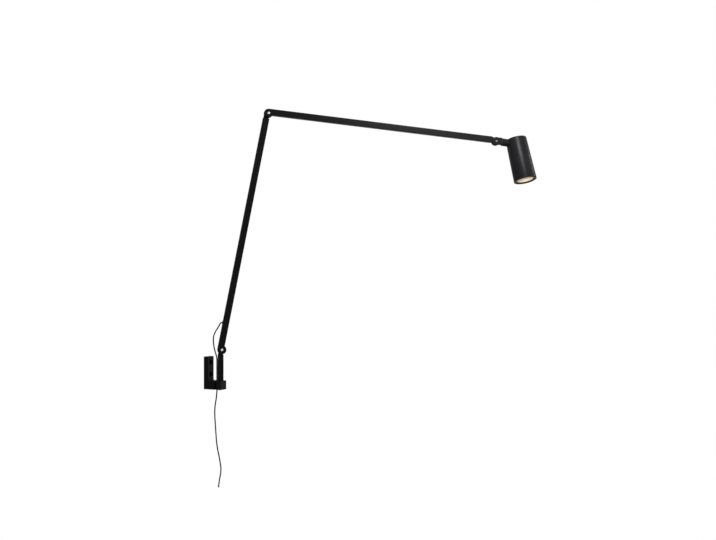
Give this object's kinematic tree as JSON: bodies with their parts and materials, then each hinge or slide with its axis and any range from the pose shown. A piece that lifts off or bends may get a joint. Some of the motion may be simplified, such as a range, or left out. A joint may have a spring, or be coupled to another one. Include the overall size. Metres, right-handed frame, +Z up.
{
  "type": "articulating wall lamp",
  "caption": "Wall lamp with a screwed L bracket, a swivelling post, square arms on friction knuckles and a tapered spot head on a turning stem.",
  "frame": {"origin": "on the bracket's back face, midway between its two wall screw holes", "axes": "+X out of the wall, +Z up, +Y along the wall; the arms' plane stands 38.3 degrees from +X towards +Y"},
  "size_m": [0.7049, 0.5225, 0.9397],
  "materials": {
    "satin_black_metal": "satin black powder coat",
    "stainless_steel": "plain stainless",
    "black_steel": "blackened",
    "black_plastic": "plain",
    "cord_jacket": "smooth black flexible jacket",
    "wire_jacket": "plain",
    "ceramic": "glazed ceramic",
    "lamp_plastic": "white moulded",
    "lit_lens": "frosted, lit warm white"
  },
  "bodies": {
    "bracket": {"wall_bracket": "satin_black_metal", "upper_post_bush": "black_plastic", "lower_post_bush": "black_plastic", "cord_drop": "cord_jacket"},
    "post": {"post_tube": "satin_black_metal", "post_foot": "stainless_steel", "post_washer": "stainless_steel", "post_screw": "stainless_steel", "post_tongue": "satin_black_metal", "cord_on_post": "cord_jacket"},
    "lower_arm": {"lower_arm_tube": "satin_black_metal", "lower_arm_fork": "satin_black_metal", "lower_arm_tongue": "satin_black_metal", "cord_grommet": "black_plastic", "cord_loop": "cord_jacket", "lower_arm_wire": "wire_jacket", "lower_hinge_bolt": "stainless_steel", "lower_hinge_screw": "stainless_steel", "lower_hinge_washers": "black_plastic"},
    "upper_arm": {"upper_arm_tube": "satin_black_metal", "upper_arm_fork": "satin_black_metal", "upper_arm_tongue": "satin_black_metal", "upper_arm_wire": "wire_jacket", "elbow_bolt": "stainless_steel", "elbow_screw": "stainless_steel", "elbow_washers": "black_plastic"},
    "head_link": {"head_link": "satin_black_metal", "link_wire": "wire_jacket", "swivel_washer": "black_plastic", "head_hinge_bolt": "stainless_steel", "head_hinge_screw": "stainless_steel", "head_hinge_washers": "black_plastic"},
    "head": {"stem_barrel": "satin_black_metal", "swivel_grub_screw": "black_steel", "stem_nipple": "stainless_steel", "saddle_washer": "stainless_steel", "nipple_nut": "stainless_steel", "head_shell": "satin_black_metal", "rim_ring": "satin_black_metal", "lamp_body": "lamp_plastic", "lamp_lens": "lit_lens", "lamp_base": "lamp_plastic", "lamp_holder": "ceramic", "lamp_carrier": "stainless_steel", "carrier_screw": "black_steel", "carrier_nut": "stainless_steel", "holder_screws": "stainless_steel", "head_wire": "wire_jacket"}
  },
  "joints": [
    {"name": "post_swivel", "type": "hinge", "parent": "bracket", "child": "post", "pos_m": [0.0413, 0, 0], "axis": [0, 0, 1], "range_deg": [-125, 50]},
    {"name": "lower_hinge", "type": "hinge", "parent": "post", "child": "lower_arm", "pos_m": [0.04365, 0.00186, 0.0467], "axis": [-0.6198, 0.7848, 0], "range_deg": [-20, 70], "deforming": ["cord_loop"]},
    {"name": "elbow_hinge", "type": "hinge", "parent": "lower_arm", "child": "upper_arm", "pos_m": [0.13431, 0.07345, 0.63548], "axis": [-0.6198, 0.7848, 0], "range_deg": [-82, 50]},
    {"name": "head_hinge", "type": "hinge", "parent": "upper_arm", "child": "head_link", "pos_m": [0.60323, 0.44379, 0.5811], "axis": [-0.6198, 0.7848, 0], "range_deg": [-95, 95]},
    {"name": "head_roll", "type": "hinge", "parent": "head_link", "child": "head", "pos_m": [0.60323, 0.44379, 0.5811], "axis": [0.7815, 0.6172, -0.0906], "range_deg": [-160, 160]}
  ]
}
